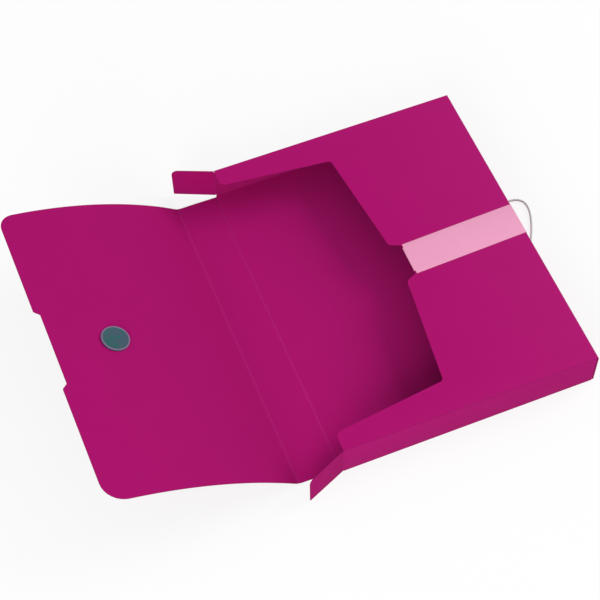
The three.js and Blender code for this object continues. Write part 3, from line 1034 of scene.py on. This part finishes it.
def flapEdgeOutline(begin):
    free = flapZero + flap["width"]
    middle = boxLength / 2 + flap["notchOffset"]
    half, deep = flap["notchWidth"] / 2, free - flap["notchDepth"]
    small = flap["notchRadius"]
    inset, rootInset = flapInset(flap["width"]), flapInset(begin - flapZero)
    freeEdge = [
        (free, boxLength - inset, flap["farCornerRadius"]), (free, middle + half + flap["notchFlare"], small),
        (deep, middle + half, small), (deep, middle - half, small),
        (free, middle - half - flap["notchFlare"], small), (free, inset, flap["nearCornerRadius"])]
    freeEdge = [(s + flap["edgeSkew"] * (t - boxLength / 2), t, radius) for s, t, radius in freeEdge]
    return roundedOutline([(begin, rootInset, 0), (begin, boxLength - rootInset, 0), *freeEdge])


def makeClosureFlap():
    hole = circle((flapZero + flap["button"], boxLength / 2 + flap["buttonOffset"]), flap["buttonHole"])
    seams = [stripSeam] + [flapZero + d for d in flap["seams"]]
    bends = [[flapZero + d for d in bend] for bend in flap["bends"]]
    return [
        makeFlapSheet("spine_strip_flap_half", seams[0], seams[1],
                      (creaseAt - foldHalf, creaseAt + foldHalf),
                      ("spine_strip", "flap_root"), ["spine_strip", "closure_flap_root"],
                      creases=[(creaseAt, flap["creaseZone"])]),
        makeFlapSheet("closure_flap_root_sheet", seams[1], seams[2], bends[0],
                      ("flap_root", "flap_middle"), ["closure_flap_root", "closure_flap_middle"]),
        makeFlapSheet("closure_flap_middle_sheet", seams[2], seams[3], bends[1],
                      ("flap_middle", "flap_button_zone"),
                      ["closure_flap_middle", "closure_flap_button_zone"]),
        makeFlapSheet("closure_flap_edge_sheet", seams[3], flapZero + flap["width"],
                      bends[2], ("flap_button_zone", "flap_edge"),
                      ["closure_flap_button_zone", "closure_flap_edge"],
                      holes=[hole], outline=flapEdgeOutline(seams[3])),
    ]


for piece in [makeMouthHalf(), *makeClosureFlap()]:
    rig.slot(piece, "sheet")
print("spine strip and closure flap folded")


# Pale band: hooked under the notch's edge, along the front panel and down the end wall

band = {
    "thickness": 0.25,
    "gap": 0.1,
    "width": 35,
    "skew": 0.031,
    "turnUnder": 12,
    "hookGap": 0.125,  # from the notch's edge to the film's inner face
    "hookMargin": 3.5,
    "hookRadius": 0.6,
    "shoulder": 0.4,
    "footRadius": 0.8,
    "tipRadius": 1.5,
    "footGap": 2,
    "endOffset": 1.8,
    "foldSteps": 10,
}


def makeBand():
    lift = band["gap"] + band["thickness"] / 2
    notchEdge = panels["cutOutDepth"] + panels["shallowVDepth"] + panels["notchDepth"]
    bend = sheetShape["foldRadius"] + sheet / 2 + lift
    hook = sheet / 2 + lift
    hookCentre = notchEdge - band["hookGap"] - band["thickness"] / 2 + hook
    rise = boxDepth - cornerLow - band["footGap"]
    run = boxWidth - cornerLow - hookCentre
    under = notchEdge + band["turnUnder"] - hookCentre
    stretches = [(rise, 0), (bend * quarter, quarter), (run, 0), (hook * math.pi, math.pi), (under, 0)]
    line = foldedPath((boxWidth + lift, band["footGap"]), quarter, stretches)
    marks = np.cumsum([s[0] for s in stretches])
    place = placeAlong(line, lambda x, z, y: inBox(x, y + band["skew"] * (x - boxWidth), z))
    near = boxLength / 2 + band["endOffset"] - band["width"] / 2
    far = near + band["width"]
    narrow = band["hookMargin"]
    shoulder = marks[2] - band["shoulder"]
    corners = [(0, near, band["footRadius"]), (shoulder, near, band["hookRadius"]),
               (shoulder, near + narrow, 0), (marks[4], near + narrow, band["tipRadius"])]
    corners += [(s, near + far - t, r) for s, t, r in corners[::-1]]
    lines = spread(marks[0], marks[1], band["foldSteps"])
    lines += spread(marks[2], marks[3], band["foldSteps"])
    # the crease here only places the band's painted fold shade
    piece = sheetPiece("colour_band_film", roundedOutline(corners), place, across=lines,
                       creases=[((marks[0] + marks[1]) / 2, bend)], thinning=0,
                       thickness=band["thickness"], materials=(bandFilm, bandFilm))
    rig.replaces(piece, "colour_band")
    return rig.ride(piece, "box_body")


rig.slot(makeBand(), "band")
print("band laid")


# Button: a dished disc with a raised rim on the inner face, and the cap with its neck outside

button = {
    "radius": 13.5,
    "sheetGap": 0.1,
    "rim": 1.7,
    "rimWidth": 1.6,
    "rimLean": 0.25,
    # how strongly the raised rim takes its painted reflection
    "rimReflectionAmount": 0.75,
    "floor": 1.3,
    "levelWidth": 3,  # the floor is nearly level beside the rim
    "levelFall": 0.02,
    "dish": 0.12,
    "socketRadius": 4.25,
    "socketDepth": 0.8,
    "discRoundings": (0.2, 0.15, 0.35, 0.7, 0.3, 0.25),  # from the socket round the rim to the floor
    "discArcStep": 0.3,
    "postRadius": 4.0,
    "postGap": 0.25,
    "neckRadius": 8,
    "neckLength": 3.4,
    "headThickness": 3.8,
    "dome": ((0.55, 0.22, 12), (0.88, 1.1, 4), (1, 2.3, 1.6)),  # share of the radius, height, rounding
    "capRoundings": (0.5, 0.8, 0.3, 0.2, 0.4),  # from the head's edge along the neck to the post's end
    "segments": 96,
    "sharpAngle": 40,
}


# Turns a profile of (radius, height, painted reflection) about the seat's own axis
def turnedPiece(name, profile, seat, material):
    shape, pattern, wearAndPaintedLight = newShape()
    rings = []
    for radius, height, paintedReflection in profile:
        ring = []
        for i in range(button["segments"] if radius > tiny else 1):
            turn = 2 * math.pi * i / button["segments"]
            local = Vector((radius * math.cos(turn), radius * math.sin(turn), height))
            made = shape.verts.new(seat @ (local / 1000))
            made[pattern] = local
            made[wearAndPaintedLight] = paintedReflection
            ring.append(made)
        rings.append(ring)
    for lower, upper in zip(rings, rings[1:]):
        joinRings(shape, lower, upper)
    return shapeObject(name, shape, [material], button["sharpAngle"])


def buttonSeat():
    out, z, heading = flapLine(flapZero + flap["button"])
    origin = inBox(-out, boxLength / 2 + flap["buttonOffset"], z)
    up = Vector((math.sin(heading), 0, math.cos(heading)))
    across = Vector((math.cos(heading), 0, -math.sin(heading)))
    turn = Matrix((across, up.cross(across), up)).transposed()
    return Matrix.Translation(origin) @ turn.to_4x4()


def makeBackingDisc(seat):
    radius, foot = button["radius"], sheet / 2 + button["sheetGap"]
    top, floor = foot + button["rim"], foot + button["floor"]
    inner = radius - button["rimWidth"]
    socket, deep = button["socketRadius"], foot + button["socketDepth"]
    socketEnd, socketMouth, back, outer, crest, valley = button["discRoundings"]
    outline = roundedOutline([
        (0, deep, 0), (socket, deep, socketEnd), (socket, foot, socketMouth), (radius, foot, back),
        (radius, top, outer), (inner + button["rimLean"], top, crest), (inner, floor, valley),
        (inner - button["levelWidth"], floor - button["levelFall"], 0),
        (0, floor - button["dish"], 0)], button["discArcStep"])
    profile = [(r, h, button["rimReflectionAmount"] if h > floor + button["dish"] and r > inner else 0.0)
               for r, h in outline]
    piece = turnedPiece("button_backing_disc_moulded", profile, seat, discPlastic)
    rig.replaces(piece, "button_backing_disc")
    return piece


def makeButtonCap(seat):
    radius, post, neck = button["radius"], button["postRadius"], button["neckRadius"]
    drop = radius * radius / 2 / flap["radius"]
    shoulder = -sheet / 2 - button["sheetGap"] - drop
    top = shoulder - button["neckLength"]
    foot = top - button["headThickness"]
    tip = sheet / 2 + button["sheetGap"] + button["socketDepth"] - button["postGap"]
    headEdge, neckRoot, neckEnd, postRoot, postEnd = button["capRoundings"]
    outline = roundedOutline([
        (0, foot, 0), *((radius * share, foot + height, r) for share, height, r in button["dome"]),
        (radius, top, headEdge), (neck, top, neckRoot), (neck, shoulder, neckEnd),
        (post, shoulder, postRoot), (post, tip, postEnd), (0, tip, 0)])
    piece = turnedPiece("button_cap_moulded", [(r, h, 0.0) for r, h in outline], seat, discPlastic)
    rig.replaces(piece, "button_cap")
    return piece


seat = buttonSeat()
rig.slot(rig.ride(makeBackingDisc(seat), "flap_button_zone"), "button_disc")
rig.slot(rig.ride(makeButtonCap(seat), "flap_button_zone"), "button_cap")
print("button set")


# Elastic cord: out of the far hole, round on the table and back in at the near hole

cord = {
    "diameter": 2.2,
    "length": 138.7,
    "sides": 32,
    "ringStep": 0.16,
    "strands": 8,  # a real braid has about 16, drawn half as many so that they show
    "layLength": 5.2,
    "relief": 0.07,
    "sharpAngle": 60,
    "route": [
        (249.2, 190.5, 20), (251.6, 190.5, 20), (253.9, 191.2, 19.4), (255.4, 193.2, 17.6),
        (256.0, 196.2, 14.8), (256.3, 199.8, 11.4), (256.8, 203.2, 8.0), (258.0, 206.6, 5.0),
        (260.2, 209.6, 2.8), (263.3, 211.4, 1.6), (267.5, 211.7, 1.2), (272.0, 210.8, 1.2),
        (276.1, 208.5, 1.2), (278.9, 204.6, 1.2), (279.7, 199.2, 1.2), (279.1, 193.6, 1.2),
        (277.4, 187.4, 1.2), (275.0, 181.0, 1.2), (272.0, 174.4, 1.2), (268.6, 167.8, 1.2),
        (265.1, 161.8, 1.2), (261.6, 155.8, 1.3), (258.8, 150.2, 2.4), (257.0, 145.6, 5.2),
        (256.0, 142.4, 9.2), (255.2, 140.4, 13.6), (254.0, 139.6, 17.6), (251.8, 139.5, 20),
        (249.2, 139.5, 20),
    ],
}
knot = {
    "ringRadius": 1.3,
    "twistRadius": 0.7,
    "tubeRadius": 0.8,
    "twistLength": 1.3,
    "rings": 160,
    "sides": 20,
}


# A centripetal curve through the points, which makes no loop where they lie close together
def smoothCurve(route, step):
    points = [np.array(p, float) for p in route]
    points = [2 * points[0] - points[1], *points, 2 * points[-1] - points[-2]]
    curve = []
    for p0, p1, p2, p3 in zip(points, points[1:], points[2:], points[3:]):
        d0, d1, d2 = (math.sqrt(np.linalg.norm(b - a)) for a, b in ((p0, p1), (p1, p2), (p2, p3)))
        leave = ((p1 - p0) / d0 - (p2 - p0) / (d0 + d1) + (p2 - p1) / d1) * d1
        arrive = ((p2 - p1) / d1 - (p3 - p1) / (d1 + d2) + (p3 - p2) / d2) * d1
        count = max(2, round(np.linalg.norm(p2 - p1) / step))
        for t in np.arange(count) / count:
            curve.append(p1 + leave * t + (3 * (p2 - p1) - 2 * leave - arrive) * t * t
                         + (2 * (p1 - p2) + leave + arrive) * t ** 3)
    curve.append(points[-2])
    return np.array(curve)


# A tube round a curve, its radius from a function of the place along it and the turn round it
def tubeMesh(name, curve, sides, radiusAt, closed=False):
    tangents = np.gradient(curve, axis=0) if not closed else np.roll(curve, -1, 0) - np.roll(curve, 1, 0)
    tangents /= np.linalg.norm(tangents, axis=1)[:, None]
    steps = np.linalg.norm(np.diff(curve, axis=0), axis=1)
    gone = np.concatenate([[0], np.cumsum(steps)])
    normal = np.cross(tangents[0], (0, 0, 1.0) if abs(tangents[0][2]) < 0.9 else (0, 1.0, 0))
    shape, pattern, wearAndPaintedLight = newShape()
    rings = []
    for point, tangent, along in zip(curve, tangents, gone):
        normal = normal - tangent * normal.dot(tangent)
        normal /= np.linalg.norm(normal)
        other = np.cross(tangent, normal)
        ring = []
        for i in range(sides):
            turn = 2 * math.pi * i / sides
            radius, height = radiusAt(along, turn)
            out = radius * (math.cos(turn) * normal + math.sin(turn) * other)
            made = shape.verts.new(inBox(*(point + out)))
            made[pattern] = (along, radius * math.cos(turn), radius * math.sin(turn))
            # the braid's height also lays the cord's painted shade in its gaps
            made[wearAndPaintedLight] = height
            ring.append(made)
        rings.append(ring)
    pairs = list(zip(rings, rings[1:]))
    if closed:
        twist = closingTwist(rings[-1], rings[0], sides)
        pairs.append((rings[-1], rings[0][twist:] + rings[0][:twist]))
    else:
        shape.faces.new(rings[0])
        shape.faces.new(rings[-1][::-1])
    for lower, upper in pairs:
        joinRings(shape, lower, upper)
    return shapeObject(name, shape, [cordYarn], cord["sharpAngle"])


# How many places the first ring is turned against the last one of a closed tube
def closingTwist(last, first, sides):
    gaps = [sum((last[i].co - first[(i + turn) % sides].co).length for i in range(sides))
            for turn in range(sides)]
    return gaps.index(min(gaps))


# The braid: two families of strands wind opposite ways, and a diamond stands where they cross
def braid(radius, along, turn):
    about = cord["strands"] * turn
    wound = cord["strands"] * math.pi * along / cord["layLength"]
    height = 0.5 + 0.5 * math.cos(about + wound) * math.cos(about - wound)
    return radius - cord["relief"] * (1 - height), height


# A trefoil knot: its centreline goes twice round the cord's axis and three times to and fro
def makeKnot(name):
    low, high = (boxPlace(corner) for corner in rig.box(name))
    centre = [(a + b) / 2 for a, b in zip(low, high)]
    turns = np.arange(knot["rings"]) / knot["rings"] * 2 * math.pi
    out = knot["ringRadius"] + knot["twistRadius"] * np.cos(3 * turns)
    curve = np.stack([centre[0] + knot["twistLength"] * np.sin(3 * turns),
                      centre[1] + out * np.cos(2 * turns), centre[2] + out * np.sin(2 * turns)], 1)
    piece = tubeMesh(name + "_tied", curve, knot["sides"],
                     lambda along, turn: braid(knot["tubeRadius"], along, turn), closed=True)
    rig.replaces(piece, name)
    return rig.slot(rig.ride(piece, "box_body"), "cord")


def makeCord():
    curve = smoothCurve(cord["route"], cord["ringStep"])
    piece = tubeMesh("elastic_loop_braided", curve, cord["sides"],
                     lambda along, turn: braid(cord["diameter"] / 2, along, turn))
    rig.replaces(piece, "elastic_loop")
    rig.slot(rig.ride(piece, "box_body"), "cord")
    print("cord length", round(float(np.linalg.norm(np.diff(curve, axis=0), axis=1).sum()), 2))
    knots = [makeKnot("near_cord_knot"), makeKnot("far_cord_knot")]
    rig.cord(piece, exit=inBox(*cord["route"][0]), length=cord["length"] / 1000,
            diameter=cord["diameter"] / 1000, far_end="object", stiffness="limp", lay="loose",
            path=[tuple(inBox(*point)) for point in curve[::6]] + [tuple(inBox(*curve[-1]))],
            with_pieces=knots)


makeCord()
print("cord laid")


# Studio: a white table, an even white surround, and three wide soft lamps: a low one in front on the
# left, a weaker one above it further left, and one on the right, which even out the faces that stand
# up. Each lamp has its place, the length of its side and its power in watts.

studio = {
    "floorSize": 5.2,
    "floorDrop": 0.0004,
    "floorWhite": 0.82,
    "whiteFrom": 0.3,
    "whiteTo": 1.0,
    "floorColour": "#ffffff",
    "floorBounce": "#d4d4d4",
    "floorRoughness": 0.9,
    "surround": 0.45,
    "lamps": [
        ((-1.4, -1.85, 1.1), 1.2, 29.2),
        ((-1.95, -1.1, 1.6), 1.8, 6.3),
        ((2.1, 0.2, 1.5), 1.6, 34.7),
    ],
}


# 1 for what the camera sees, straight or through a shiny surface, and 0 for light that bounces
def seenByCamera(material):
    path = addNode(material, "ShaderNodeLightPath", {})
    seen = path.outputs["Is Camera Ray"]
    for ray in ("Is Glossy Ray", "Is Transmission Ray"):
        either = addNode(material, "ShaderNodeMath", {0: seen, 1: path.outputs[ray]}, operation="MAXIMUM")
        seen = either.outputs[0]
    return seen


# Matt white laminate: it shows white, with the object's soft shadow left on it, and throws a soft
# light back up. Away from the object it turns to the backdrop's even white, so that no edge shows.
def matWhiteLaminate(name, setup):
    material = newMaterial(name)
    seen = seenByCamera(material)
    tint = addNode(material, "ShaderNodeMix",
                   {0: seen, 6: colour(setup["floorBounce"]), 7: colour(setup["floorColour"])},
                   data_type="RGBA")
    table = addNode(material, "ShaderNodeBsdfPrincipled",
                    {"Base Color": tint.outputs[2], "Roughness": setup["floorRoughness"],
                     "Specular IOR Level": 0.0})
    white = addNode(material, "ShaderNodeEmission", {"Color": (1, 1, 1, 1), "Strength": 1.0})
    spot = addNode(material, "ShaderNodeNewGeometry", {}).outputs["Position"]
    away = addNode(material, "ShaderNodeVectorMath", {0: spot}, operation="LENGTH")
    level = addNode(material, "ShaderNodeMapRange",
                    {"Value": away.outputs["Value"], "From Min": setup["whiteFrom"],
                     "From Max": setup["whiteTo"], "To Min": setup["floorWhite"], "To Max": 1.0})
    amount = addNode(material, "ShaderNodeMath",
                     {0: seen, 1: level.outputs["Result"]}, operation="MULTIPLY")
    both = addNode(material, "ShaderNodeMixShader",
                   {0: amount.outputs[0], 1: table.outputs["BSDF"], 2: white.outputs["Emission"]})
    addNode(material, "ShaderNodeOutputMaterial", {"Surface": both.outputs["Shader"]})
    return material


def makeStudio():
    bpy.ops.mesh.primitive_plane_add(size=studio["floorSize"], location=(0, 0, -studio["floorDrop"]))
    floor = bpy.context.object
    floor.name = "table"
    floor.data.materials.append(matWhiteLaminate("table_laminate_matt_white", studio))
    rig.stage(floor)
    world = bpy.data.worlds.new("surround")
    world.use_nodes = True
    world.node_tree.nodes.clear()
    level = addNode(world, "ShaderNodeMapRange",
                    {"Value": seenByCamera(world), "To Min": studio["surround"], "To Max": 1.0})
    backdrop = addNode(world, "ShaderNodeBackground",
                       {"Color": (1, 1, 1, 1), "Strength": level.outputs["Result"]})
    addNode(world, "ShaderNodeOutputWorld", {"Surface": backdrop.outputs["Background"]})
    bpy.context.scene.world = world
    for place, size, power in studio["lamps"]:
        lamp = addObject("softLamp", bpy.data.lights.new("softLamp", "AREA"))
        lamp.data.shape = "SQUARE"
        lamp.data.size = size
        lamp.data.energy = power
        lamp.location = place
        lamp.rotation_euler = (-lamp.location).to_track_quat("-Z", "Y").to_euler()
    bpy.context.scene.view_settings.view_transform = "Standard"


makeStudio()

visualBox = [list(corner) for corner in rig.bounds()]
with open("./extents.json", "w") as sizes:
    json.dump({"cad": cadBox, "visual": visualBox}, sizes)
print("scene ready")
